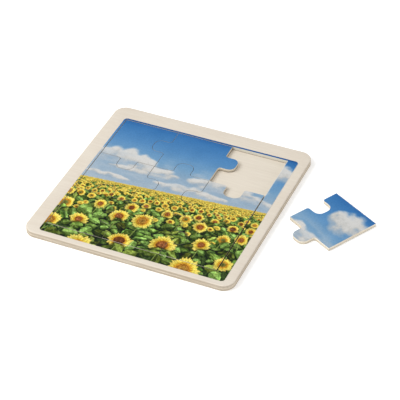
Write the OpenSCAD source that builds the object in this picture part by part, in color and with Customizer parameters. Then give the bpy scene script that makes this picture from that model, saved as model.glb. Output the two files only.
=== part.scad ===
// Framed picture jigsaw: a base board carries a frame, and nine knobbed pieces lie in
// the frame's opening. Frame and pieces are cut from one board after the picture sheet
// is glued to it, so the sheet is cut with them. One corner piece lies beside the tray.
//
// Millimetres. +X points to the picture's right, +Y to its top edge and +Z up. The
// origin is the middle of the tray's underside. Rows count from the back (the picture's
// top edge) and columns from the left.

/* [Tray] */
// Width of the tray, along X
tray_w = 150; // [120:1:220]
// Depth of the tray, along Y
tray_d = 150; // [120:1:220]
// Radius of the tray's upright corners
corner_r = 8.5; // [2:0.5:10]
// Radius that the tray's outer edges are sanded to
edge_r = 0.8; // [0.3:0.1:1.4]
// Thickness of the base board
base_t = 2.5; // [1.8:0.1:5]
// Thickness of the board that the frame and the pieces are cut from
board_t = 2.5; // [1.8:0.1:5]

/* [Frame] */
// Width of the frame's left side
border_left = 12; // [10:0.2:20]
// Width of the frame's right side
border_right = 14.4; // [10:0.2:20]
// Width of the frame's front side
border_front = 12; // [10:0.2:20]
// Width of the frame's back side
border_back = 14; // [10:0.2:20]

/* [Picture sheet] */
// Thickness of the printed sheet
sheet_t = 0.15; // [0.1:0.05:0.4]
// How far the sheet runs onto the frame's left side
sheet_left = 1.4; // [0.6:0.1:8.4]
// How far the sheet runs onto the frame's right side
sheet_right = 7.8; // [0.6:0.1:8.4]
// How far the sheet runs onto the frame's front side
sheet_front = 8; // [0.6:0.1:8.4]
// How far the sheet runs onto the frame's back side
sheet_back = 1.4; // [0.6:0.1:8.4]
// Radius of the sheet's corners
sheet_corner_r = 2.5; // [0.5:0.5:5]

/* [Pieces] */
// Width of the cut between two pieces
kerf = 0.3; // [0.2:0.05:0.8]
// Gap between the outer pieces and the frame, at the left, the front and the back
edge_gap = 0.5; // [0.2:0.05:1]
// Gap between the outer pieces and the frame's right side
right_gap = 0.8; // [0.2:0.05:1.2]
// Width of a knob
knob_w = 12.6; // [9:0.2:16]
// Length of a knob, from the seam to its tip
knob_l = 10.8; // [8:0.2:12]
// Radius of the two corners at a knob's tip
knob_tip_r = 4.8; // [2:0.2:6]
// Radius of the fillets at a knob's root
knob_root_r = 1.8; // [0.6:0.2:3]

/* [Loose piece] */
// Turn of the loose piece from the way it lies in the tray
loose_turn = -29.5; // [-60:0.5:60]
// Clear floor between the tray's right side and the loose piece
loose_gap = 7.6; // [3:0.2:40]
// Place of the loose piece's middle along Y
loose_y = 16; // [-40:1:40]

/* [Hidden] */
ROW_NAMES = ["back", "middle", "front"];
COLUMN_NAMES = ["left", "centre", "right"];
rows = len(ROW_NAMES);
columns = len(COLUMN_NAMES);
loose_row = 0;
loose_column = columns - 1;

// Colours of the sheet, by row: open sky, cloud and horizon, sunflowers
ROW_COLOURS = ["steelblue", "lightsteelblue", "olivedrab"];

// Each knob sits a little off the middle of its seam, so that no two pieces swap places.
// Knobs between columns shift along Y: one list for each row.
side_shift = [[1.5, 1.8], [1.2, 0.4], [0.5, -0.8]];
// Knobs between rows shift along X: one list for each seam from the back.
end_shift = [[1.4, -0.5, -0.8], [0.6, 0.5, -0.6]];

// The opening in the frame
open_left = border_left - tray_w / 2;
open_right = tray_w / 2 - border_right;
open_front = border_front - tray_d / 2;
open_back = tray_d / 2 - border_back;
pitch_x = (open_right - open_left) / columns;
pitch_y = (open_back - open_front) / rows;

// Half the loose piece's width across X once it is turned, without its knob
loose_half = (pitch_x * cos(loose_turn) + pitch_y * abs(sin(loose_turn))) / 2;
loose_x = tray_w / 2 + loose_gap + loose_half;

// Overlap that makes joined shapes share more than a face, and cutters pass through
eps = 0.1;
$fn = 64;

function place_name(r, c) = str(ROW_NAMES[r], "_", COLUMN_NAMES[c]);
function seam_x(c) = open_left + c * pitch_x;
function seam_y(r) = open_back - r * pitch_y;
function middle_x(c) = seam_x(c) + pitch_x / 2;
function middle_y(r) = seam_y(r) - pitch_y / 2;

// Knobs follow a chequerboard: on half the places they point to the back and front,
// and on the others to the left and right.
function knobs_at_ends(r, c) = (r + c) % 2 == 0;

// Flat shape between two corners, with round corners of radius r
module round_box(low, high, r) {
    size = high - low;
    translate(low) {
        translate([r, 0]) square([size.x - 2 * r, size.y]);
        translate([0, r]) square([size.x, size.y - 2 * r]);
        for (x = [r, size.x - r], y = [r, size.y - r])
            translate([x, y]) circle(r);
    }
}

// Upright section of the tray's rim: its outer top edge is round
module rim_section(thick) {
    square([corner_r - edge_r, thick]);
    square([corner_r, thick - edge_r]);
    translate([corner_r - edge_r, thick - edge_r]) circle(edge_r);
}

// Board of the tray's outline with its outer top edge sanded round
module tray_board(thick) {
    inner = [tray_w - 2 * corner_r, tray_d - 2 * corner_r];
    translate([-inner.x / 2, -inner.y / 2]) cube([inner.x, inner.y, thick]);
    for (end = [0, 1]) {
        side = [inner.x, inner.y][end];
        reach = [inner.y, inner.x][end] / 2;
        for (half = [0, 180]) rotate(90 * end + half) {
            translate([-side / 2, reach]) rotate([90, 0, 90])
                linear_extrude(side) rim_section(thick);
            translate([side / 2, reach]) rotate_extrude(angle = 90) rim_section(thick);
        }
    }
}

// One knob, pointing to +Y from the middle of its root on the seam. grow moves its
// whole outline outwards: half the kerf for a socket, and minus half for the knob.
module knob(grow) {
    half = knob_w / 2 + grow;
    tip_r = knob_tip_r + grow;
    root_r = knob_root_r - grow;
    translate([-half, -knob_root_r]) square([2 * half, knob_root_r + knob_l - knob_tip_r]);
    translate([tip_r - half, 0]) square([2 * (half - tip_r), knob_l + grow]);
    for (side = [0, 1]) mirror([side, 0]) {
        translate([half - tip_r, knob_l - knob_tip_r]) circle(tip_r);
        translate([half, grow]) difference() {
            translate([-eps, -eps]) square(root_r + eps);
            translate([root_r, root_r]) circle(root_r);
        }
    }
}

// The knob across the seam to the right of place (r, c)
module side_knob(r, c, grow) {
    translate([seam_x(c + 1), middle_y(r) + side_shift[r][c]])
        rotate(knobs_at_ends(r, c) ? 90 : -90) knob(grow);
}

// The knob across the seam in front of place (r, c)
module end_knob(r, c, grow) {
    translate([middle_x(c) + end_shift[r][c], seam_y(r + 1)])
        rotate(knobs_at_ends(r, c) ? 180 : 0) knob(grow);
}

// The knobs on the left and right seams of place (r, c)
module side_knobs(r, c, grow) {
    if (c > 0) side_knob(r, c - 1, grow);
    if (c < columns - 1) side_knob(r, c, grow);
}

// The knobs on the back and front seams of place (r, c)
module end_knobs(r, c, grow) {
    if (r > 0) end_knob(r - 1, c, grow);
    if (r < rows - 1) end_knob(r, c, grow);
}

// Rectangle of place (r, c), less half a kerf at a seam or the gap at the frame
module cell(r, c) {
    left = seam_x(c) + (c == 0 ? edge_gap : kerf / 2);
    right = seam_x(c + 1) - (c == columns - 1 ? right_gap : kerf / 2);
    back = seam_y(r) - (r == 0 ? edge_gap : kerf / 2);
    front = seam_y(r + 1) + (r == rows - 1 ? edge_gap : kerf / 2);
    translate([left, front]) square([right - left, back - front]);
}

// Outline of the piece at place (r, c)
module piece_outline(r, c) {
    difference() {
        union() {
            cell(r, c);
            if (knobs_at_ends(r, c)) end_knobs(r, c, -kerf / 2);
            else side_knobs(r, c, -kerf / 2);
        }
        if (knobs_at_ends(r, c)) side_knobs(r, c, kerf / 2);
        else end_knobs(r, c, kerf / 2);
    }
}

// Puts a piece down: on the base board, or beside the tray where it is the loose one
module put_down(r, c) {
    if (r == loose_row && c == loose_column)
        translate([loose_x, loose_y]) rotate(loose_turn)
            translate([-middle_x(c), -middle_y(r)]) children();
    else translate([0, 0, base_t]) children();
}

module base_board() {
    color("wheat") translate([0, 0, base_t]) mirror([0, 0, 1]) tray_board(base_t);
}

module frame() {
    color("wheat") translate([0, 0, base_t]) difference() {
        tray_board(board_t);
        translate([open_left, open_front, -eps])
            cube([open_right - open_left, open_back - open_front, board_t + 2 * eps]);
    }
}

// The rim of the picture sheet, left on the frame when the opening was cut
module frame_print() {
    color("cornflowerblue") translate([0, 0, base_t + board_t]) linear_extrude(sheet_t)
        difference() {
            round_box([open_left - sheet_left, open_front - sheet_front],
                      [open_right + sheet_right, open_back + sheet_back], sheet_corner_r);
            translate([open_left, open_front])
                square([open_right - open_left, open_back - open_front]);
        }
}

// The wooden piece at place (r, c)
module piece(r, c) {
    color("burlywood") put_down(r, c) linear_extrude(board_t) piece_outline(r, c);
}

// The part of the picture sheet glued to the piece at place (r, c)
module piece_print(r, c) {
    color(ROW_COLOURS[r]) put_down(r, c)
        translate([0, 0, board_t]) linear_extrude(sheet_t) piece_outline(r, c);
}

base_board();
frame();
frame_print();
for (r = [0:rows - 1], c = [0:columns - 1]) {
    piece(r, c);
    piece_print(r, c);
}
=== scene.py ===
import math

import bpy
import numpy as np
from mathutils import Matrix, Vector
from mathutils.geometry import delaunay_2d_cdt


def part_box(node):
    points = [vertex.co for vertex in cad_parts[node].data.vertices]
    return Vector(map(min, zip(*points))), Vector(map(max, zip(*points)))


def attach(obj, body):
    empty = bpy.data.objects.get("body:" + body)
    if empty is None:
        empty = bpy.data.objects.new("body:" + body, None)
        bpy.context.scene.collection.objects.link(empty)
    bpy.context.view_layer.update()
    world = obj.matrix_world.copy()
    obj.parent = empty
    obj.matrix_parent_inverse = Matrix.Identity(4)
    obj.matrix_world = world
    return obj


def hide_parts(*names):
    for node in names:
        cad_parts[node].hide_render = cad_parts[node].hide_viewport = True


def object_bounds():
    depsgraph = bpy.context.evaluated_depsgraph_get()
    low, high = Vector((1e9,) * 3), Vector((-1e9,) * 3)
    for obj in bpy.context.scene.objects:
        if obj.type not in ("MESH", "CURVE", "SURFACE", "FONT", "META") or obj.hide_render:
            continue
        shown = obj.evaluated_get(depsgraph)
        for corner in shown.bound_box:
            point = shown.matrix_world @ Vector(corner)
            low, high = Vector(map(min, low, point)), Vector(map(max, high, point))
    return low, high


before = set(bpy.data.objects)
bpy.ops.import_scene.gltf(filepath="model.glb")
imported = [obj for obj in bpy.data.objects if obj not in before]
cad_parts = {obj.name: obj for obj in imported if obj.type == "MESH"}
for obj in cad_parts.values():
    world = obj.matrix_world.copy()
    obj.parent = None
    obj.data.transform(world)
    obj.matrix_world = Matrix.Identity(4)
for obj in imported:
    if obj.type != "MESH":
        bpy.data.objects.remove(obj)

# Metres, in the frame's own axes: +X to the picture's right, +Y to its top edge, +Z up.
CAD_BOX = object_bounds()
MM = 0.001

# ---- The jigsaw's sizes -------------------------------------------------------------
ROWS = ("back", "middle", "front")
COLUMNS = ("left", "centre", "right")
PLACES = tuple((row, column) for row in range(3) for column in range(3))
LOOSE = (0, 2)
LOOSE_TURN = math.radians(-29.5)
CORNER_R = 8.5 * MM
EDGE_R = 0.8 * MM
SHEET_CORNER_R = 2.5 * MM
MOUTH_R = 0.4 * MM
KERF = 0.3 * MM
EDGE_GAP = 0.5 * MM
RIGHT_GAP = 0.8 * MM
KNOB_W = 12.6 * MM
KNOB_L = 10.8 * MM
KNOB_TIP_R = 4.8 * MM
KNOB_ROOT_R = 1.8 * MM
# How far each knob sits off the middle of its seam, as the pieces are cut
SIDE_SHIFT = ((1.5, 1.8), (1.2, 0.4), (0.5, -0.8))
END_SHIFT = ((1.4, -0.5, -0.8), (0.6, 0.5, -0.6))
# Small roundings that the saw and sandpaper leave
SAWN_EDGE = 0.07 * MM
GLUE_EDGE = 0.12 * MM
MOUTH_EDGE = 0.2 * MM
# Height of the foot of the frame's inner wall, darkened with painted shade
FOOT = 0.6 * MM
# Spacing of points on the printed sheet, fine enough to hold the picture, and how far
# the points of its face stay from its border's, along X and Y added together
PRINT_STEP = 0.3 * MM
BORDER_ROOM = 0.585 * PRINT_STEP
# Rounding of the sheet's upper edge
PAPER_EDGE = 0.04 * MM
# Spacing of points along the frame's outline
FRAME_STEP = 4 * MM
# Parts of a quarter turn in the outlines: a board's corner, a knob's fillet and its tip
CORNER_STEPS = 14
FILLET_STEPS = 8
TIP_STEPS = 18
KNOB_POINTS = 2 * (FILLET_STEPS + TIP_STEPS + 2)
# Parts of a quarter round on an edge: the base board's, the frame's and a piece's
SANDED_STEPS = 5
FRAME_ROUND_STEPS = 6
SAWN_STEPS = 2
# Rings of a sheet's wall below its face. On the frame's rim, the strips across its face
# and the spacing of points along it
WALL_RINGS = 3
RIM_STRIPS = 24
RIM_STEP = 1.2 * PRINT_STEP


def place_name(row, column):
    """The words for a place in the names of nodes and bodies."""
    return f"{ROWS[row]}_{COLUMNS[column]}"


def span(node):
    """A node's lowest and highest corners as arrays."""
    low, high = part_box(node)
    return np.array(low), np.array(high)


SEATED = [f"piece_{place_name(*place)}" for place in PLACES if place != LOOSE]
OPEN_LOW = np.min([span(node)[0][:2] for node in SEATED], axis=0) - EDGE_GAP
OPEN_HIGH = np.max([span(node)[1][:2] for node in SEATED], axis=0) + (RIGHT_GAP, EDGE_GAP)
PITCH = (OPEN_HIGH - OPEN_LOW) / 3


def seam_x(column):
    """Where the seam at a column's left lies: whole pitches from the opening's left side."""
    return OPEN_LOW[0] + column * PITCH[0]


def seam_y(row):
    """Where the seam behind a row lies: whole pitches from the opening's back side."""
    return OPEN_HIGH[1] - row * PITCH[1]


# ---- Shader maths -------------------------------------------------------------------
class Value:
    """A socket's number. Python's operators on it add Math nodes."""

    def __init__(self, nodes, socket):
        self.nodes = nodes
        self.socket = socket

    def math(self, operation, *terms):
        """A Math node on the terms."""
        return self.nodes.node("ShaderNodeMath", {"operation": operation}, *terms)

    def __add__(self, other):
        return self.math("ADD", self, other)

    def __sub__(self, other):
        return self.math("SUBTRACT", self, other)

    def __rsub__(self, other):
        return self.math("SUBTRACT", other, self)

    def __mul__(self, other):
        return self.math("MULTIPLY", self, other)

    __radd__ = __add__
    __rmul__ = __mul__


class Nodes:
    """A node tree. mix() adds its Mix nodes, and node() adds any other."""

    def __init__(self, tree):
        self.tree = tree

    def feed(self, socket, value):
        """Links a value to a socket, or sets a constant on it, opaque if it is a colour."""
        if isinstance(value, Value):
            self.tree.links.new(value.socket, socket)
        elif hasattr(socket.default_value, "__len__") and len(value) != len(socket.default_value):
            socket.default_value = (*value, 1)
        else:
            socket.default_value = value

    def node(self, kind, settings, *values, output=0, **named):
        """Adds a node: settings first, then its sockets in order or by name, and gives
        back one output."""
        node = self.tree.nodes.new(kind)
        for key, setting in settings.items():
            setattr(node, key, setting)
        for socket, value in zip(node.inputs, values):
            self.feed(socket, value)
        for socket, value in named.items():
            self.feed(node.inputs[socket.replace("_", " ")], value)
        return Value(self, node.outputs[output])

    def mix(self, factor, below, above, blend="MIX"):
        """The colour below, covered by the one above as far as factor says."""
        node = self.tree.nodes.new("ShaderNodeMix")
        node.data_type = "RGBA"
        node.blend_type = blend
        self.feed(node.inputs["Factor"], factor)
        self.feed(node.inputs[6], below)
        self.feed(node.inputs[7], above)
        return Value(self, node.outputs[2])

    def ease(self, value, low, high):
        """0 below low and 1 above high, eased between."""
        easing = {"interpolation_type": "SMOOTHSTEP"}
        return self.node("ShaderNodeMapRange", easing, value, low, high, 0.0, 1.0)


class Finish(Nodes):
    """A material. Constants go on its shader's own sockets."""

    def __init__(self, name, **constants):
        self.material = bpy.data.materials.new(name)
        self.material.use_nodes = True
        super().__init__(self.material.node_tree)
        self.shader = self.tree.nodes["Principled BSDF"]
        for socket, value in constants.items():
            self.feed(self.shader.inputs[socket.replace("_", " ")], value)

    def noise(self, scale, detail=3.0, roughness=0.5, place=(0, 0, 0)):
        """Noise on object coordinates stretched by a scale for each axis, in cycles a metre."""
        where = self.node("ShaderNodeTexCoord", {}, output=3)
        stretched = self.node("ShaderNodeMapping", {}, where, Location=place, Scale=scale)
        return self.node("ShaderNodeTexNoise", {}, stretched, Scale=1.0, Detail=detail, Roughness=roughness)

    def bump(self, height):
        """Raises the surface by a height in units of the relief's depth."""
        relief = self.node("ShaderNodeBump", {}, Height=height, Distance=RELIEF, Strength=1.0)
        self.feed(self.shader.inputs["Normal"], relief)

    def surface(self, colour, roughness):
        """Feeds the shader's colour and roughness."""
        self.feed(self.shader.inputs["Base Color"], colour)
        self.feed(self.shader.inputs["Roughness"], roughness)


def to_light(screen):
    """Screen levels from 0 to 1 as linear light: straight in the dark, and a power above."""
    return np.where(screen < 0.04045, screen / 12.92, ((screen + 0.055) / 1.055) ** 2.4)


def linear(*levels):
    """A screen colour, 0 to 255, as linear light."""
    return tuple(to_light(np.array(levels) / 255))


# ---- Wood ---------------------------------------------------------------------------
PLIES = 3
VENEER_GRAIN = (28, 620, 300)
CROSS_GRAIN = (620, 28, 300)
# Painted light and painted shade for sawn edges: a pale tone that lightens an edge, and a brown that
# darkens it towards its foot
PAINTED_LIGHT_WOOD = (238, 240, 230)
PAINTED_SHADE_WOOD = (84, 62, 44)
# Depth of the finest relief, on wood and paper
RELIEF = 0.03 * MM


def shaded(share, colour):
    """A screen colour at a share of its levels, as linear light."""
    return linear(*[share * level for level in colour])


def plywood(name, grain, pale, dark, edge_pale, edge_dark):
    """Thin plywood. The faces carry long streaks, short pores and broad clouds of tone.
    The sawn edges show the plies as bands by the height attribute, which runs from 0 at
    the board's underside to 1 at its top, with the glue as thin lines between them.
    Another attribute paints light and shade on the sawn edges: at 1, painted shade darkens
    the edge from below, and at -1, painted light makes it pale."""
    finish = Finish(name, Specular_IOR_Level=0.15)
    streaks = finish.noise(grain, 5, 0.62)
    clouds = finish.noise((26, 30, 26), 3, 0.55, place=(3, 1, 7))
    pores = finish.noise([4 * cycles for cycles in grain], 2, 0.6, place=(9, 4, 2))
    fibres = finish.noise([2.5 * cycles for cycles in grain], 4, 0.7, place=(1, 8, 5))
    tone = finish.ease(streaks * 0.55 + clouds * 0.45, 0.34, 0.66)
    face = finish.mix(tone, linear(*dark), linear(*pale))
    flecks = finish.ease(pores, 0.66, 0.78) * 0.16
    face = finish.mix(flecks, face, shaded(0.72, dark))
    face = finish.mix(finish.ease(fibres, 0.35, 0.7) * 0.10, face, linear(255, 250, 238))

    height = finish.node("ShaderNodeAttribute", {"attribute_name": "height"}, output=2)
    ply = height * PLIES
    within = ply.math("PINGPONG", ply, 0.5)
    glue = 1 - finish.ease(within, 0.02, 0.12)
    middle = finish.ease(ply, 0.95, 1.05) * (1 - finish.ease(ply, 1.95, 2.05))
    fray = finish.noise((900, 900, 2200), 3, 0.6)
    along = finish.noise((60, 60, 1500), 4, 0.6, place=(2, 2, 2))
    edge = finish.mix(finish.ease(along, 0.3, 0.7), linear(*edge_dark), linear(*edge_pale))
    edge = finish.mix(middle * (0.2 + 0.4 * fray), edge, shaded(0.85, edge_dark))
    edge = finish.mix(glue * 0.35, edge, shaded(0.6, edge_dark))
    # Painted light and shade on the sawn edges, by the second attribute: below 0 painted light pales the
    # edge, above 0 painted shade darkens it from the foot up
    painted_shading = finish.node("ShaderNodeAttribute", {"attribute_name": "painted_shading"}, output=2)
    edge = finish.mix(finish.ease(-1 * painted_shading, 0.0, 1.0) * 0.5, edge, linear(*PAINTED_LIGHT_WOOD))
    below = 1 - finish.ease(height + 0.2 * fray - 0.9 * painted_shading, -0.3, 0.2)
    edge = finish.mix(finish.ease(painted_shading, 0.0, 0.4) * (0.06 + 0.84 * below), edge, linear(*PAINTED_SHADE_WOOD))
    normal = finish.node("ShaderNodeTexCoord", {}, output=1)
    facing_up = finish.node("ShaderNodeSeparateXYZ", {}, normal, output=2)
    upright = 1 - finish.ease(facing_up.math("ABSOLUTE", facing_up), 0.25, 0.8)
    colour = finish.mix(upright, face, edge)
    finish.surface(colour, 0.62 + 0.2 * streaks + 0.08 * upright)
    relief = streaks * 0.5 + fibres * 0.35 - 0.6 * finish.ease(pores, 0.62, 0.74)
    rough_cut = upright * (fray * 1.6 - glue * 1.2)
    finish.bump(relief + rough_cut)
    return finish.material


# ---- The printed picture ------------------------------------------------------------
# The picture is painted in millimetres on the assembled jigsaw: a field of sunflowers
# under a blue sky. Everything in it is made from soft-edged shapes and value noise.
LATTICE_SEED = 11
CLOUD_SEED = 21
PLANTING_SEED = 1
SCATTER_SEED = 5
CELLS = 64
LATTICE = np.random.default_rng(LATTICE_SEED).random((CELLS, CELLS))
LEFT, RIGHT = -66.0, 70.0
HORIZON = -3.2
HORIZON_CLIMB = 0.0813


def smooth(low, high, value):
    """Ease from 0 below low to 1 above high along a cubic."""
    t = np.clip((value - low) / (high - low), 0, 1)
    return t * t * (3 - 2 * t)


def noise(x, y, size, octaves=1):
    """Value noise from 0 to 1: random lattice values eased between, each octave half
    as large and half as strong."""
    total = 0.0
    weights = 0.0
    for octave in range(octaves):
        u = x / size * 2 ** octave + 7.7 * octave + 31
        v = y / size * 2 ** octave + 3.1 * octave + 57
        i, j = np.floor(u).astype(int), np.floor(v).astype(int)
        s, t = smooth(0, 1, u - i), smooth(0, 1, v - j)
        i, j, right, above = i % CELLS, j % CELLS, (i + 1) % CELLS, (j + 1) % CELLS
        low = LATTICE[i, j] * (1 - s) + LATTICE[right, j] * s
        high = LATTICE[i, above] * (1 - s) + LATTICE[right, above] * s
        total = total + (low * (1 - t) + high * t) / 2 ** octave
        weights += 1 / 2 ** octave
    return total / weights


def over(colours, new, cover):
    """Lay a new colour over the old ones, as far as cover says."""
    cover = np.asarray(cover)[..., None]
    return colours * (1 - cover) + np.asarray(new) * cover


def rgb(*levels):
    """A screen colour, 0 to 255, as levels from 0 to 1."""
    return np.array(levels) / 255


def ramp(value, places, colours):
    """Colour for each value, straight between the colours at the given places."""
    table = np.array(colours) / 255
    return np.stack([np.interp(value, places, table[:, k]) for k in range(3)], axis=-1)


def horizon(x):
    """The horizon's height, which climbs evenly to the right."""
    return HORIZON + HORIZON_CLIMB * x


# Banks of cloud: middle x and y, half length and height
CLOUD_BANKS = ((-46, 20, 24, 9), (-20, 14, 18, 6), (-30, 10, 20, 3), (32, 15, 26, 6.5),
               (54, 10, 20, 4), (54, 43, 17, 13), (12, 3, 26, 4.5), (-50, -1, 16, 3))
# The sky's blue by height, and a cloud's colour from its shaded foot to its lit top
SKY_HEIGHTS = (-12, 12, 25, 40, 56, 60, 62)
SKY_BLUES = ((163, 180, 194), (148, 171, 191), (119, 159, 193), (90, 139, 187), (67, 120, 176),
             (61, 111, 169), (48, 90, 144))
CLOUD_LIGHT = (0, 0.3, 0.62, 1)
CLOUD_GREYS = ((154, 172, 188), (178, 185, 190), (201, 199, 194), (214, 212, 208))


def cloud_lobes():
    """The banks' puffs as middle x and y, half width and half height: evenly spaced along
    each bank, tall in its middle and low at its ends, with a seeded share of chance."""
    rng = np.random.default_rng(CLOUD_SEED)
    lobes = []
    for cx, cy, half, high in CLOUD_BANKS:
        count = 4 + int(half / 6)
        for along in np.linspace(-1, 1, count):
            swell = math.sqrt(1.15 - along ** 2) * (0.5 + 0.75 * rng.random())
            lift = high * (0.3 * swell + 0.3 * rng.random() - 0.2)
            half_w, half_h = 1.5 * half / count + 2, high * (0.3 + 0.5 * swell)
            lobes.append((cx + 0.8 * half * along, cy + lift, half_w, half_h))
    return lobes


def sky(x, y):
    """Blue that pales towards the horizon, with clouds. Their body is a soft union of the
    puffs, the logarithm of a sum of exponentials, with a rim made ragged by noise. Their
    light is the height within the puffs near by, and thin haze lies over the lower sky."""
    colours = ramp(y, SKY_HEIGHTS, SKY_BLUES) + (noise(x, y, 9, 3)[..., None] - 0.5) * 0.035
    ragged = noise(x, y * 1.35, 7.5, 5) - 0.5
    body = np.full(x.shape, -1.0)
    lit = np.zeros(x.shape)
    weight = np.full(x.shape, 1e-6)
    for cx, cy, half_w, half_h in cloud_lobes():
        u, v = (x - cx) / half_w, (y - cy) / half_h
        v = np.where(v < 0, v * 0.8, v)
        inside = 1 - u * u - v * v
        body = np.logaddexp(body * 5, inside * 5) / 5
        pull = np.exp(-2.2 * (u * u + v * v))
        lit += pull * v
        weight += pull
    cover = smooth(-0.25, 0.75, body + 0.16 + ragged * 1.5)
    light = smooth(-0.8, 0.6, lit / weight + (noise(x + 3, y - 1.5, 5, 4) - 0.5) * 2.0)
    colours = over(colours, ramp(light, CLOUD_LIGHT, CLOUD_GREYS), cover * 0.97)
    haze = smooth(0.42, 0.75, noise(x, y * 2.5, 14, 4)) * smooth(36, 20, y)
    return over(colours, rgb(178, 190, 200), 0.5 * haze)


# The ground by distance below the horizon, from far blossom to the shade between leaves
GROUND_DEPTHS = (0, 1.2, 4, 12, 40, 70)
GROUND = ((224, 212, 116), (196, 188, 88), (122, 130, 60), (78, 94, 48), (69, 86, 49), (64, 79, 51))
GREENS = {"bright": (134, 170, 88), "fresh": (122, 152, 77), "deep": (94, 116, 58)}
# A flower's disc: its middle and its rim
DISCS = {"green": ((104, 112, 62), (176, 128, 54)), "red": ((154, 98, 64), (136, 84, 46)),
         "orange": ((172, 132, 66), (164, 112, 50)), "dark": ((124, 78, 54), (102, 62, 38)),
         "bud": ((184, 182, 80), (200, 176, 72))}
# Its two rings of petals: how far they reach and their colour
PETALS = ((1.14, (240, 204, 76)), (1.04, (255, 231, 98)))
STEM_HALF_WIDTH = 0.35


def near(x, y, cx, cy, reach):
    """Which points lie within reach of a middle."""
    return np.nonzero((np.abs(x - cx) < reach) & (np.abs(y - cy) < reach))[0]


def paint_leaf(colours, x, y, leaf):
    """A heart-shaped leaf: half width eases to a point along its rib, lit on the upper
    half, with a pale rib, side veins and soft folds that catch the light."""
    cx, cy, half_l, half_w, turn, green = leaf  # the turn in degrees
    at = near(x, y, cx, cy, 1.3 * max(half_l, half_w))
    if not len(at):
        return
    a = np.radians(turn)
    dx, dy = x[at] - cx, y[at] - cy
    u = (dx * np.cos(a) + dy * np.sin(a)) / half_l
    v = (dy * np.cos(a) - dx * np.sin(a)) / half_w
    outline = np.clip(1 - np.abs(u) ** 1.6, 0, 1) ** 0.75 * (1 - 0.38 * u)
    edge = 0.3 / half_w
    ragged = 0.3 * (noise(x[at], y[at], 1.1, 2) - 0.5)
    cover = smooth(-edge, edge, outline + ragged - np.abs(v) * (1 + 0.12 * np.sin(9 * u))) * (np.abs(u) < 1)
    side = np.where(v * np.cos(a) > 0, 1.18, 0.78)
    veins = 1 - 0.1 * smooth(0.6, 1, np.cos((u - 0.5 * np.abs(v)) * 15)) * (half_w > 2)
    rib = smooth(0.09, 0.02, np.abs(v)) * 0.3 * (half_w > 1.2)
    folds = noise(x[at] + 5 + 0.5 * y[at], y[at], 2.1, 3)
    tone = side * veins * (0.58 + 0.78 * folds) * (1 - 0.3 * smooth(0.5, 1, np.abs(v)))
    new = rgb(*green) * tone[:, None]
    new = over(new, rgb(168, 186, 128), np.maximum(rib, 0.3 * smooth(0.66, 0.85, folds)))
    shade = smooth(1.35, 0.9, np.hypot(u, v + 0.18)) * 0.6
    colours[at] = over(over(colours[at], rgb(24, 34, 28), shade), new, cover)


def paint_bloom(colours, x, y, bloom, rng):
    """A flower: two rings of pointed petals, whose reach falls from each tip to the gaps,
    orange where they meet the disc, around a speckled disc dark in its middle."""
    cx, cy, half_w, half_h, disc_w, disc_h, kind = bloom
    count = 13 + int(rng.integers(0, 4)) if half_w < 3 else 19 + int(rng.integers(0, 6))
    phase = rng.random(3) * math.tau
    at = near(x, y, cx, cy, 1.35 * max(half_w, half_h))
    if not len(at):
        return
    dx, dy = x[at] - cx, y[at] - cy
    u, v = dx / half_w, dy / half_h
    reach = np.hypot(u, v)
    disc = np.hypot(dx / disc_w, dy / disc_h)
    angle = np.arctan2(v, u)
    wobble = 0.10 * np.sin(3 * angle + phase[0]) + 0.07 * np.sin(7 * angle + phase[1])
    edge = 0.22 / half_w
    shade = smooth(1.3, 0.7, np.hypot(u, v + 0.14)) * 0.5
    result = over(colours[at], rgb(22, 30, 20), shade)
    light = 0.94 + 0.1 * np.sin(angle + phase[0] * 0.3)
    for layer, (length, tone) in enumerate(PETALS):
        turn = (angle + wobble * 0.6) * count / math.tau + phase[2] + 0.5 * layer
        across = np.abs(turn - np.round(turn)) * 2
        own = LATTICE[np.round(turn).astype(int) % count, int(cx * 7) % 50]
        tip = length * (0.84 + 0.22 * own) * (1 - 0.36 * across ** 1.7) + wobble * 0.3
        cover = smooth(-edge, edge, tip - reach)
        petal = rgb(*tone) * (light * (1.05 - 0.24 * across ** 2 - 0.12 * own))[:, None]
        petal = over(petal, rgb(224, 164, 52), 0.5 * smooth(0.8, 0.3, reach) * (0.4 + 0.6 * across))
        petal = over(petal, rgb(255, 246, 160), 0.5 * smooth(0.6, 1.0, reach) * (1 - across))
        result = over(result, petal, cover)
    result = over(result, rgb(190, 120, 40), 0.6 * smooth(1.35, 0.95, disc))
    middle, rim = DISCS[kind]
    speck = noise(dx + 9 * phase[0], dy, 0.6, 2)[:, None] * 0.7 + 0.65
    face = over(np.tile(rgb(*middle), (len(at), 1)), rgb(*rim), smooth(0.3, 0.85, disc)) * speck
    face = over(face, rgb(70, 44, 28), 0.5 * smooth(0.35, 0.0, disc))
    soft = 0.3 / disc_w
    result = over(result, face, smooth(soft, -soft, disc - 0.88 - wobble * 0.3))
    colours[at] = result


def paint_stem(colours, x, y, stem):
    """A stem: a pale green curve that bows sideways from its top to its foot."""
    top_x, top_y, foot_x, foot_y, bow, half_w = stem
    down = np.clip((top_y - y) / (top_y - foot_y), 0, 1)
    middle = top_x + (foot_x - top_x) * down + bow * 4 * down * (1 - down)
    off = np.abs(x - middle) / half_w
    cover = smooth(1.5, 0.7, off) * (y < top_y) * (y > foot_y)
    tone = rgb(158, 178, 96) * (1.05 - 0.3 * off.clip(0, 1.5))[:, None]
    colours[:] = over(colours, tone, 0.75 * cover)


def scattered_leaf(x, y, size, depth, turn, rng):
    """A leaf of a chance size, in deep green of a chance tone or now and then bright."""
    light = np.interp(depth, [30, 55], [1.1, 1.05])
    green = np.array(GREENS["deep"]) * (0.6 + 0.85 * rng.random()) * light
    green = green * (0.9 + 0.25 * rng.random(), 1, 0.95)
    if rng.random() < 0.4:
        green = np.array(GREENS["bright"]) * (0.75 + 0.35 * rng.random())
    half_l = size * (0.8 + 0.5 * rng.random())
    half_w = size * (0.55 + 0.35 * rng.random())
    return x, y, half_l, half_w, turn, tuple(green)


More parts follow.
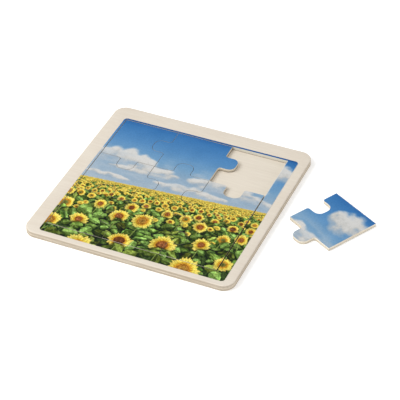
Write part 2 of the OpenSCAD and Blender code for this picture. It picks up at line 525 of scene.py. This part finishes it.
def scattered_bloom(x, y, size, depth, rng):
    """A small flower beside a leaf's place, which grows with depth up to a limit."""
    half = min(0.3 + 0.115 * depth, 2.1) * (0.75 + 0.5 * rng.random())
    kind = ("orange", "red", "bud", "dark")[int(rng.integers(0, 4))]
    return x + size * 0.5, y + size * 0.3, half * 1.15, half, half * 0.46, half * 0.42, kind


def scattered(rng):
    """Leaves and small flowers by distance below the horizon, in rows that widen towards
    the front as the field comes nearer, with fewer flowers the nearer the row."""
    things = []
    depth = 0.3
    while depth < 70:
        size = 0.34 + 0.15 * depth if depth < 20 else 3.3 + 0.045 * (depth - 20)
        bloom_chance = np.interp(depth, [0, 3, 8, 24, 40], [0.75, 0.66, 0.48, 0.34, 0.1])
        x = LEFT + rng.random() * size
        while x < RIGHT:
            place = depth + (rng.random() - 0.5) * size * 1.3
            y = horizon(x) - place
            turn = rng.random() * 360
            if depth > 2.2:
                things.append((place, "leaf", scattered_leaf(x, y, size, depth, turn, rng)))
            if depth < 40 and rng.random() < bloom_chance:
                things.append((place + 0.4 * size, "bloom", scattered_bloom(x, y, size, depth, rng)))
            x += size * (1.05 + 0.5 * rng.random()) * 1.05
        depth += size * 0.62
    return things


def clear_of(x, y, half, others, room):
    """Whether a round thing keeps its distance from the others, which start with their
    middle x and y and half width: room times the sum of both half widths."""
    return all(math.hypot(x - other[0], y - other[1]) > room * (half + other[2]) for other in others)


def main_blooms(rng):
    """The nearer flowers. Each place is drawn at random, more often far away, with a size
    that grows with its distance below the horizon, and is kept if it clears the others."""
    blooms = []
    for _ in range(700):
        depth = 11.5 + 62 * rng.random() ** 1.7
        x = LEFT + (RIGHT - LEFT) * rng.random()
        half = np.interp(depth, [11, 20, 70], [1.9, 4.7, 10]) * (0.7 + 0.4 * rng.random())
        tall = half * (0.95 + 0.2 * rng.random())
        disc = 0.46 + 0.14 * rng.random()
        kind = ("red", "orange", "dark", "green", "red")[int(rng.integers(0, 5))]
        y = horizon(x) - depth
        room = np.interp(depth, [11, 30, 60], [0.95, 1.2, 1.45])
        if clear_of(x, y, half, blooms, room):
            blooms.append((x, y, half, tall, half * disc, tall * disc, kind))
    return blooms


def main_leaves(rng, blooms):
    """The big leaves in front, at random places clear of the flowers and each other."""
    leaves = []
    for _ in range(160):
        x = LEFT + (RIGHT - LEFT) * rng.random()
        y = horizon(x) - 24 - 48 * rng.random()
        half = 2.6 + 3.4 * rng.random()
        green = ("fresh", "bright", "deep")[int(rng.integers(0, 3))]
        half_w = half * (0.65 + 0.35 * rng.random())
        turn = 80 * rng.random() - 40
        if clear_of(x, y, half, blooms, 0.8) and clear_of(x, y, half, leaves, 0.95):
            leaves.append((x, y, half, half_w, turn, GREENS[green]))
    return leaves


def stem_of(bloom, rng):
    """A stem from a flower's lower edge to a foot a little aside."""
    x, top = bloom[0], bloom[1] - 0.9 * bloom[3]
    aside = 3 * rng.random() - 1.5
    bow = 0.8 * rng.random() - 0.4
    foot = top - bloom[3] * (1.2 + 0.5 * rng.random())
    return x, top, x + aside, foot, bow, STEM_HALF_WIDTH


def hides(thing, blooms, leaves):
    """Whether a scattered leaf or flower would cover a nearer flower or a big leaf."""
    x, y, size = thing[2][0], thing[2][1], 0.55 * thing[2][2]
    near_bloom = 0.95 if thing[1] == "bloom" else 0.7
    return not (clear_of(x, y, size, blooms, near_bloom) and clear_of(x, y, size, leaves, 0.8))


def planted(rng):
    """Everything that grows, as its order, sort and measures, the furthest first. The
    order is the distance below the horizon, a little more for what stands in front."""
    plan = np.random.default_rng(PLANTING_SEED)
    blooms = main_blooms(plan)
    leaves = main_leaves(plan, blooms)
    things = [thing for thing in scattered(rng) if not hides(thing, blooms, leaves)]
    for leaf in leaves:
        things.append((horizon(leaf[0]) - leaf[1] + 1.5, "leaf", leaf))
    for bloom in blooms:
        if bloom[3] > 4:
            stem = stem_of(bloom, plan)
            things.append((horizon(stem[0]) - stem[3] + 2, "stem", stem))
        things.append((horizon(bloom[0]) - bloom[1] + bloom[3] * 0.7 + 2, "bloom", bloom))
    return sorted(things, key=lambda thing: thing[0])


def picture(x, y):
    """The picture's colours at the points x, y: the sky, the ground over it below the
    horizon, and the plants over both from far to near, with a fine grain on the field."""
    rng = np.random.default_rng(SCATTER_SEED)
    below = horizon(x) - y + (noise(x, y, 1.2, 2) - 0.5) * 0.7
    ground = ramp(below, GROUND_DEPTHS, GROUND) * (0.6 + 0.8 * noise(x, y, 1.1, 3))[:, None]
    colours = over(sky(x, y), ground, smooth(-0.15, 0.25, below))
    for _, sort, thing in planted(rng):
        if sort == "leaf":
            paint_leaf(colours, x, y, thing)
        elif sort == "stem":
            paint_stem(colours, x, y, thing)
        else:
            paint_bloom(colours, x, y, thing, rng)
    fine = 1 + smooth(0.5, 2, below) * 0.6 * (noise(x + 0.5 * y, y, 0.6, 3) - 0.5)
    return np.clip(colours * fine[:, None], 0, 1)


# ---- Outlines -----------------------------------------------------------------------
def arc(middle, radius, start, end, steps):
    """Points round an arc, from one angle to another in degrees."""
    angles = np.radians(np.linspace(start, end, steps + 1))
    return np.array(middle) + radius * np.stack([np.cos(angles), np.sin(angles)], axis=1)


def knob_curve(grow):
    """The knob's outline from left to right over its seam, which is the line y = 0: a
    fillet, the left tip corner, the right tip corner and a fillet. grow moves it outwards."""
    half = KNOB_W / 2 + grow
    tip_r = KNOB_TIP_R + grow
    root_r = KNOB_ROOT_R - grow
    shoulder = KNOB_L - KNOB_TIP_R
    left = np.concatenate([
        arc((-half - root_r, grow + root_r), root_r, -90, 0, FILLET_STEPS),
        arc((-half + tip_r, shoulder), tip_r, 180, 90, TIP_STEPS),
    ])
    return np.concatenate([left, left[::-1] * (-1, 1)])


def neighbour(row, column, side):
    """The place beside a place. Sides go front, right, back, left."""
    return ((row + 1, column), (row, column + 1), (row - 1, column), (row, column - 1))[side]


def crosses(row, column, side):
    """What crosses a side of a piece: 1 for its own knob, -1 for a neighbour's, and 0 at
    the frame. Knobs follow a chequerboard."""
    beside = neighbour(row, column, side)
    if not (0 <= beside[0] < 3 and 0 <= beside[1] < 3):
        return 0
    at_ends = (row + column) % 2 == 0
    return 1 if at_ends == (side in (0, 2)) else -1


def knob_middle(row, column, side):
    """Where the middle of the knob on a side meets the seam."""
    middle = (seam_x(column) + PITCH[0] / 2, seam_y(row) - PITCH[1] / 2)
    if side == 0:
        return np.array((middle[0] + END_SHIFT[row][column] * MM, seam_y(row + 1)))
    if side == 2:
        return np.array((middle[0] + END_SHIFT[row - 1][column] * MM, seam_y(row)))
    seam = column if side == 1 else column - 1
    return np.array((seam_x(seam + 1), middle[1] + SIDE_SHIFT[row][seam] * MM))


# How far up an edge painted shade darkens it: in a cut, in the wide gap at the right, in
# the other gaps, beside the open place and round the loose piece
EDGE_SHADE_REACH = {"cut": 1.3, "wide_gap": 1.4, "gap": 0.5, "open": 0.42, "loose": 0.3}


def piece_shade_reach(row, column):
    """How far up each turning point's edge painted shade darkens it: all the way in a tight
    cut and in the gap at the right, where shade is deepest, and less at an open place."""
    shade_reaches = []
    for side in range(4):
        crossed = crosses(row, column, side) != 0
        if (row, column) == LOOSE:
            where = "loose"
        elif neighbour(row, column, side) == LOOSE:
            where = "open"
        elif crossed:
            where = "cut"
        else:
            where = "wide_gap" if side == 1 else "gap"
        shade_reaches += [EDGE_SHADE_REACH[where]] * (1 + KNOB_POINTS * crossed)
    return np.array(shade_reaches)


def piece_keys(row, column, inset):
    """The turning points of a piece's outline, anticlockwise from its front left corner
    and drawn in by inset: corners, and the knob curve turned onto each side it crosses."""
    gaps = (EDGE_GAP, RIGHT_GAP, EDGE_GAP, EDGE_GAP)
    cut = [(KERF / 2 if crosses(row, column, side) else gaps[side]) + inset for side in range(4)]
    low = np.array((seam_x(column) + cut[3], seam_y(row + 1) + cut[0]))
    high = np.array((seam_x(column + 1) - cut[1], seam_y(row) - cut[2]))
    corners = (low, (high[0], low[1]), high, (low[0], high[1]))
    keys = []
    for side in range(4):
        keys.append([corners[side]])
        kind = crosses(row, column, side)
        if kind:
            along = np.array(((1, 0), (0, 1), (-1, 0), (0, -1))[side])
            outwards = np.array((along[1], -along[0]))
            curve = knob_curve(-kind * (KERF / 2 + inset))
            turned = curve[:, :1] * along + curve[:, 1:] * outwards * kind
            keys.append(knob_middle(row, column, side) + turned)
    return np.concatenate(keys)


def box_keys(low, high, radius):
    """A rectangle with round corners, anticlockwise from the front left one."""
    inner_low, inner_high = np.array(low) + radius, np.array(high) - radius
    return np.concatenate([
        arc(inner_low, radius, 180, 270, CORNER_STEPS),
        arc((inner_high[0], inner_low[1]), radius, 270, 360, CORNER_STEPS),
        arc(inner_high, radius, 0, 90, CORNER_STEPS),
        arc((inner_low[0], inner_high[1]), radius, 90, 180, CORNER_STEPS),
    ])


def divided(keys, counts):
    """Cuts each stretch between two turning points into equal parts."""
    start = np.repeat(np.arange(len(keys)), counts)
    part = np.concatenate([np.arange(count) / count for count in counts])[:, None]
    return keys[start] * (1 - part) + keys[(start + 1) % len(keys)] * part


def stretch_counts(keys, step):
    """How many parts each stretch needs, so that none is longer than step."""
    lengths = np.linalg.norm(np.roll(keys, -1, axis=0) - keys, axis=1)
    return np.maximum(1, np.ceil(lengths / step - 1e-6)).astype(int)


# ---- Meshes -------------------------------------------------------------------------
# Edges that turn by more than this stay sharp
SMOOTH_ANGLE = 35


def wall_faces(rings, count):
    """Quads between each ring and the next, which is above it or further in."""
    low = np.arange(rings - 1)[:, None] * count + np.arange(count)
    ahead = np.arange(rings - 1)[:, None] * count + (np.arange(count) + 1) % count
    return np.stack([low, ahead, ahead + count, low + count], axis=-1).reshape(-1, 4)


def loop_faces(rings, count):
    """Quads between each ring and the next, and from the last back to the first."""
    last = (rings - 1) * count
    here = np.arange(count)
    ahead = (here + 1) % count
    closing = np.stack([last + here, last + ahead, ahead, here], axis=-1)
    return np.concatenate([wall_faces(rings, count), closing]).tolist()


def new_piece(name, points, faces, material):
    """Makes a closed mesh of points and faces, smooth except across sharp edges."""
    mesh = bpy.data.meshes.new(name)
    mesh.from_pydata(points.tolist(), [], faces)
    mesh.polygons.foreach_set("use_smooth", np.ones(len(mesh.polygons), dtype=bool))
    mesh.set_sharp_from_angle(angle=math.radians(SMOOTH_ANGLE))
    mesh.materials.append(material)
    mesh.validate()
    piece = bpy.data.objects.new(name, mesh)
    bpy.context.scene.collection.objects.link(piece)
    return piece


def store_edges(piece, low, high, painted_shading):
    """Writes each point's share of the board's thickness, for the ply bands, and how far
    painted shade darkens the edge there, or -1 where painted light makes it pale."""
    points = np.empty(len(piece.data.vertices) * 3)
    piece.data.vertices.foreach_get("co", points)
    share = (points[2::3] - low) / (high - low)
    piece.data.attributes.new("height", "FLOAT", "POINT").data.foreach_set("value", share)
    painted_shading_values = np.zeros(len(share)) + painted_shading
    piece.data.attributes.new("painted_shading", "FLOAT", "POINT").data.foreach_set("value", painted_shading_values)


def stack(outlines, heights):
    """Rings of outlines at their heights, one after another."""
    return np.concatenate([np.column_stack([outline, np.full(len(outline), height)])
                           for outline, height in zip(outlines, heights)])


def board(name, outline, low, high, low_r, high_r, material, steps, painted_shading):
    """A solid board: outline(inset) drawn up from its underside to its top, whose edges
    are quarter rounds of radius low_r and high_r, closed with flat caps."""
    turn = np.linspace(0, math.pi / 2, steps + 1)
    insets = np.concatenate([low_r * (1 - np.sin(turn)), high_r * (1 - np.cos(turn))])
    heights = np.concatenate([low + low_r * (1 - np.cos(turn)), high - high_r * (1 - np.sin(turn))])
    outlines = [outline(inset) for inset in insets]
    count = len(outlines[0])
    faces = wall_faces(len(outlines), count).tolist()
    faces.append(list(range(count))[::-1])
    faces.append(list(range(count * (len(outlines) - 1), count * len(outlines))))
    piece = new_piece(name, stack(outlines, heights), faces, material)
    store_edges(piece, low, high, painted_shading)
    return piece


def put_down(points, row, column):
    """Turns and moves the loose piece's points to where it lies, which its box gives."""
    if (row, column) != LOOSE:
        return points
    c, s = math.cos(LOOSE_TURN), math.sin(LOOSE_TURN)
    turned = points @ np.array(((c, s), (-s, c)))
    keys = piece_keys(row, column, 0) @ np.array(((c, s), (-s, c)))
    return turned + span(f"piece_{place_name(row, column)}")[0][:2] - keys.min(axis=0)


# ---- Pieces of the object -----------------------------------------------------------
def dress(piece, node, body):
    """Hides the CAD part a finished piece replaces and joins the piece to the body it moves with."""
    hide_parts(node)
    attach(piece, body)


def make_base_board(material):
    """The tray's floor, sanded round at its lower edge and glued at its upper one."""
    low, high = span("base_board")

    def outline(inset):
        return box_keys(low[:2] + inset, high[:2] - inset, CORNER_R - inset)

    piece = board("base_board_ply", outline, low[2], high[2], EDGE_R, GLUE_EDGE, material,
                  SANDED_STEPS, 0.0)
    dress(piece, "base_board", "tray")


def make_frame(material):
    """A ring: up the outside, over the top, and down the inside to the underside. Its
    inner outline has as many points as the outer one, so the rings join point to point.
    Painted shade darkens the inside, but at the open place painted light pales it and
    painted shade darkens only its foot."""
    low, high = span("frame")
    turn = np.linspace(0, math.pi / 2, FRAME_ROUND_STEPS + 1)
    outer = [(GLUE_EDGE * (1 - math.sin(a)), low[2] + GLUE_EDGE * (1 - math.cos(a))) for a in turn]
    outer += [(EDGE_R * (1 - math.cos(a)), high[2] - EDGE_R * (1 - math.sin(a))) for a in turn]
    inner = [(MOUTH_EDGE * (1 - math.sin(a)), high[2] - MOUTH_EDGE * (1 - math.cos(a))) for a in turn]
    inner += [(0.0, low[2] + FOOT), (0.0, low[2])]
    outlines = [box_keys(low[:2] + inset, high[:2] - inset, CORNER_R - inset) for inset, _ in outer]
    outlines += [box_keys(OPEN_LOW - out, OPEN_HIGH + out, MOUTH_R + out) for out, _ in inner]
    parts = stretch_counts(outlines[0], FRAME_STEP)
    outlines = [divided(keys, parts) for keys in outlines]
    heights = [height for _, height in outer + inner]
    count = len(outlines[0])
    rings = len(outlines)
    points = stack(outlines, heights)
    piece = new_piece("frame_ply", points, loop_faces(rings, count), material)
    open_place = (points[:, 0] > seam_x(2)) & (points[:, 1] > seam_y(1))
    ring = np.arange(len(points)) // count
    # Painted shade on the inner wall; at the open place painted light above its foot
    painted_shading_values = np.where(open_place & (ring < rings - 1), -1.0, 1.0) * (ring >= len(outer))
    store_edges(piece, low[2], high[2], painted_shading_values)
    dress(piece, "frame", "tray")


def make_piece(row, column, material):
    """The wooden piece at a place, with the saw's sharp edges just taken off."""
    node = f"piece_{place_name(row, column)}"
    low, high = span(node)

    def outline(inset):
        return put_down(piece_keys(row, column, inset), row, column)

    # Painted shade on the piece's sawn walls, ring by ring
    painted_shading = np.tile(piece_shade_reach(row, column), 2 * (SAWN_STEPS + 1))
    piece = board(f"{node}_ply", outline, low[2], high[2], SAWN_EDGE, SAWN_EDGE, material,
                  SAWN_STEPS, painted_shading)
    dress(piece, node, f"{place_name(row, column)}_piece")


def paper_rings(outline, low, high):
    """The sheet's wall, from its underside to the first ring on its face: upright, then
    over a small round."""
    insets = (0, 0, 0.3 * PAPER_EDGE, PAPER_EDGE)
    heights = (low, high - PAPER_EDGE, high - 0.3 * PAPER_EDGE, high)
    return [outline(inset) for inset in insets], heights


PAPER = rgb(236, 234, 228)
# The paper's own sheen adds a little light everywhere, so the ink is as much darker,
# but never quite black
INK_DEPTH = 0.94
INK_LIFT = 0.02
INK_BLACK = 0.003
# How much bare paper shows on the sheet's cut wall, and how much darker the cut is
WALL_PAPER = 0.4
WALL_SHADE = 0.8
# How much paper colour shows on the face's rim: wear on a piece and on the frame, and at
# the frame's open place a painted highlight of the lit paper edge as well
PIECE_WEAR = 0.05
FRAME_WEAR = 0.1
OPEN_EDGE_HIGHLIGHT = 0.7


def store_print(piece, points, on_face, paper_shown):
    """Paints the sheet: the picture on its face, a darkened mix of ink and bare paper on
    its cut wall, and paper colour on the face's rim, for wear and, beside the frame's open
    place, for a painted highlight."""
    ink = picture(points[:, 0] / MM, points[:, 1] / MM)
    light = to_light(over(ink, PAPER, np.where(on_face, paper_shown, WALL_PAPER)))
    shade = np.where(on_face, 1, WALL_SHADE)[:, None]
    light = np.maximum(light * INK_DEPTH - INK_LIFT, INK_BLACK) * shade
    layer = piece.data.color_attributes.new("print_colour", "FLOAT_COLOR", "POINT")
    layer.data.foreach_set("color", np.column_stack([light, np.ones(len(light))]).ravel())


def points_inside(border):
    """Grid points within a closed border, row by row, that keep their distance from the
    border's own points. A point lies inside if a ray from it to +X crosses the border an
    odd number of times, so each crossing is counted for the columns on its left."""
    columns, rows = [np.arange(border[:, axis].min() + PRINT_STEP / 2, border[:, axis].max(), PRINT_STEP)
                     for axis in (0, 1)]
    after = np.roll(border, -1, axis=0)
    row, stretch = np.nonzero((border[:, 1] > rows[:, None]) != (after[:, 1] > rows[:, None]))
    start, run = border[stretch], (after - border)[stretch]
    reach = start[:, 0] + (rows[row] - start[:, 1]) / run[:, 1] * run[:, 0]
    crossings = np.zeros((len(rows), len(columns) + 1), dtype=int)
    np.add.at(crossings, (row, np.searchsorted(columns, reach)), 1)
    crossings = crossings[:, ::-1].cumsum(axis=1)[:, ::-1][:, 1:]

    nearest = np.rint((border - (columns[0], rows[0])) / PRINT_STEP).astype(int)
    around = np.stack(np.meshgrid((-1, 0, 1), (-1, 0, 1)), axis=-1).reshape(-1, 2)
    beside = np.clip(nearest[:, None] + around, 0, (len(columns) - 1, len(rows) - 1))
    grid = np.stack([columns[beside[..., 0]], rows[beside[..., 1]]], axis=-1)
    crowded = beside[np.abs(grid - border[:, None]).sum(axis=-1) <= BORDER_ROOM]
    clear = np.ones((len(rows), len(columns)), dtype=bool)
    clear[crowded[:, 1], crowded[:, 0]] = False
    row, column = np.nonzero(clear & (crossings % 2 == 1))
    return np.column_stack([columns[column], rows[row]])


def make_print(row, column, material):
    """The sheet on one piece: walls as rings, and a face of evenly spread points joined
    into triangles with the last ring as its border."""
    node = f"print_{place_name(row, column)}"
    low, high = span(node)
    counts = stretch_counts(piece_keys(row, column, 0), PRINT_STEP)

    def outline(inset):
        return divided(piece_keys(row, column, inset), counts)

    outlines, heights = paper_rings(outline, low[2], high[2])
    border = outlines[-1]
    count = len(border)
    inner = points_inside(border)
    flat = np.concatenate([border, inner])
    _, _, triangles, _, _, _ = delaunay_2d_cdt(flat.tolist(), [], [list(range(count))], 1, 1e-9)
    first = count * (len(outlines) - 1)
    faces = wall_faces(len(outlines), count).tolist()
    faces += (np.array(triangles) + first).tolist()
    faces.append(list(range(count))[::-1])
    assembled = np.concatenate([stack(outlines, heights), stack([inner], [high[2]])])
    points = assembled.copy()
    points[:, :2] = put_down(assembled[:, :2], row, column)
    piece = new_piece(f"{node}_sheet", points, faces, material)
    on_face = np.arange(len(points)) >= first
    paper_shown = np.zeros(len(points))
    paper_shown[first:first + count] = PIECE_WEAR
    store_print(piece, assembled, on_face, paper_shown)
    dress(piece, node, f"{place_name(row, column)}_piece")


def make_frame_print(material):
    """The rim of the sheet: rings from its outer edge across its face to the opening."""
    low, high = span("frame_print")
    outer_keys = box_keys(low[:2], high[:2], SHEET_CORNER_R)
    counts = stretch_counts(outer_keys, RIM_STEP)

    def outer(inset):
        return divided(box_keys(low[:2] + inset, high[:2] - inset, SHEET_CORNER_R - inset), counts)

    def inner(out):
        return divided(box_keys(OPEN_LOW - out, OPEN_HIGH + out, MOUTH_R + out), counts)

    outlines, heights = paper_rings(outer, low[2], high[2])
    across = np.linspace(0, 1, RIM_STRIPS + 1)[1:-1]
    outer_face, inner_face = outlines[-1], inner(PAPER_EDGE)
    outlines += [outer_face * (1 - share) + inner_face * share for share in across]
    heights = list(heights) + [high[2]] * len(across)
    inside, down = paper_rings(inner, low[2], high[2])
    outlines += inside[::-1]
    heights += down[::-1]
    count = len(outer_face)
    rings = len(outlines)
    points = stack(outlines, heights)
    piece = new_piece("frame_print_sheet", points, loop_faces(rings, count), material)
    ring = np.arange(len(points)) // count
    outermost, innermost = WALL_RINGS, rings - 1 - WALL_RINGS
    on_face = (ring >= outermost) & (ring <= innermost)
    open_side = (points[:, 0] > OPEN_HIGH[0] - MM) & (points[:, 1] > seam_y(1))
    # Paper colour on the rim's edges: wear, and beside the open place a painted highlight of the lit paper
    # edge, spread over two rings
    wear_and_highlight = np.where(open_side, OPEN_EDGE_HIGHLIGHT, FRAME_WEAR)
    paper_shown = wear_and_highlight * ((ring == outermost) | (ring == innermost))
    paper_shown = paper_shown + 0.5 * (wear_and_highlight - FRAME_WEAR) * (ring == innermost - 1)
    store_print(piece, points, on_face, paper_shown)
    dress(piece, "frame_print", "tray")


def printed_paper(name):
    """Satin print on thin paper: the painted colour, a fine grain of ink, slight waves
    where the glue pulls, and paper tooth as bump."""
    finish = Finish(name, Specular_IOR_Level=0.12)
    painted = finish.node("ShaderNodeAttribute", {"attribute_name": "print_colour"}, output=0)
    grain = finish.noise((3800, 3800, 3800), 2, 0.6)
    tooth = finish.noise((1500, 1500, 1500), 3, 0.55, place=(5, 5, 5))
    waves = finish.noise((120, 120, 120), 2, 0.5, place=(2, 6, 1))
    mottle = finish.noise((800, 800, 800), 3, 0.7, place=(4, 7, 3))
    speckle = finish.mix(0.3 * grain + 0.7 * mottle, (0.12, 0.12, 0.12), (0.88, 0.88, 0.88))
    ink = finish.mix(0.4, painted, speckle, blend="OVERLAY")
    finish.surface(ink, 0.42 + 0.14 * tooth + 0.06 * waves)
    finish.bump(tooth * 0.6 + grain * 0.25 + waves * 2.0)
    return finish.material


# ---- Stage --------------------------------------------------------------------------
FLOOR_REACH = 4.0
FLOOR_DROP = 0.05 * MM
LIT_POINT = (0.02, 0, 0)


def make_floor():
    """A wide white floor just under the object, which glows a little to stay white."""
    finish = Finish("studio_floor", Specular_IOR_Level=0.0, Roughness=0.9, Base_Color=(0.96, 0.96, 0.96),
                    Emission_Color=(1, 1, 1), Emission_Strength=0.22)
    mesh = bpy.data.meshes.new("floor")
    level = CAD_BOX[0][2] - FLOOR_DROP
    corners = [(x * FLOOR_REACH, y * FLOOR_REACH, level) for x, y in ((-1, -1), (1, -1), (1, 1), (-1, 1))]
    mesh.from_pydata(corners, [], [(0, 1, 2, 3)])
    mesh.materials.append(finish.material)
    floor = bpy.data.objects.new("floor", mesh)
    bpy.context.scene.collection.objects.link(floor)


def aimed(thing, place, target):
    """Puts a lamp at a place and turns it to a target."""
    thing.location = place
    direction = np.array(target) - np.array(place)
    flat = math.hypot(direction[0], direction[1])
    thing.rotation_euler = (math.atan2(flat, -direction[2]), 0, math.atan2(-direction[0], direction[1]))


def softbox(name, place, size, watts):
    """A round area lamp aimed at a point on the floor near the object's middle."""
    lamp = bpy.data.lights.new(name, "AREA")
    lamp.shape = "DISK"
    lamp.size = size
    lamp.energy = watts
    lamp_object = bpy.data.objects.new(name, lamp)
    bpy.context.scene.collection.objects.link(lamp_object)
    aimed(lamp_object, place, LIT_POINT)


def light_studio():
    """An even white surround, brighter near the horizon like a studio's backdrop, a key
    light from the front left, a weak fill overhead and a weaker one from the right."""
    world = bpy.data.worlds.new("studio")
    world.use_nodes = True
    surround = Nodes(world.node_tree)
    direction = surround.node("ShaderNodeTexCoord", {}, output=0)
    upwards = surround.node("ShaderNodeSeparateXYZ", {}, direction, output=2)
    strength = surround.node("ShaderNodeMapRange", {}, upwards, 0.1, 0.3, 0.98, 0.62)
    backdrop = world.node_tree.nodes["Background"]
    surround.feed(backdrop.inputs["Color"], (1, 1, 1))
    surround.feed(backdrop.inputs["Strength"], strength)
    bpy.context.scene.world = world
    softbox("key", (-0.9, -0.6, 1.1), 0.9, 14.0)
    softbox("fill", (-0.1, -0.4, 1.6), 1.4, 3.0)
    softbox("side", (1.3, -0.3, 0.4), 0.8, 2.0)
    bpy.context.scene.view_settings.view_transform = "Standard"


# The camera looks down over the tray's front right, from a good way off
CAMERA_AZIMUTH = 24.17
CAMERA_ELEVATION = 39.41
CAMERA_ROLL = -0.84
CAMERA_DISTANCE = 1.1867
CAMERA_ASIDE = 19.18 * MM
CAMERA_BELOW = 2.69 * MM
CAMERA_LENS = 157.2


def set_camera():
    """A camera on a line through the tray's middle, slid sideways to take in the loose
    piece: its axes are worked out from the two angles, and then rolled."""
    azimuth, elevation, roll = (math.radians(a) for a in (CAMERA_AZIMUTH, CAMERA_ELEVATION, CAMERA_ROLL))
    level = math.cos(elevation)
    back = np.array((math.sin(azimuth) * level, -math.cos(azimuth) * level, math.sin(elevation)))
    right = np.cross((0, 0, 1), back)
    right = right / np.linalg.norm(right)
    up = np.cross(back, right)
    place = back * CAMERA_DISTANCE + right * CAMERA_ASIDE - up * CAMERA_BELOW
    rolled_right = math.cos(roll) * right + math.sin(roll) * up
    rolled_up = math.cos(roll) * up - math.sin(roll) * right
    lens = bpy.data.cameras.new("camera")
    lens.lens = CAMERA_LENS
    lens.sensor_width = 36
    lens.clip_start = 0.01
    camera = bpy.data.objects.new("camera", lens)
    turned = np.eye(4)
    turned[:3] = np.column_stack([rolled_right, rolled_up, back, place])
    camera.matrix_world = Matrix(turned.tolist())
    bpy.context.scene.collection.objects.link(camera)
    bpy.context.scene.camera = camera


# ---- Build --------------------------------------------------------------------------
set_camera()
light_studio()
make_floor()
base_plywood = plywood("base_plywood", VENEER_GRAIN, (221, 212, 197), (215, 205, 190),
                       (208, 197, 180), (182, 167, 146))
frame_plywood = plywood("frame_plywood", VENEER_GRAIN, (217, 208, 194), (212, 201, 186),
                        (206, 195, 178), (186, 171, 150))
piece_plywood = plywood("piece_plywood", CROSS_GRAIN, (222, 210, 190), (206, 190, 164),
                        (240, 233, 218), (222, 210, 188))
picture_print = printed_paper("picture_print")
make_base_board(base_plywood)
make_frame(frame_plywood)
make_frame_print(picture_print)
for row, column in PLACES:
    make_piece(row, column, piece_plywood)
    make_print(row, column, picture_print)
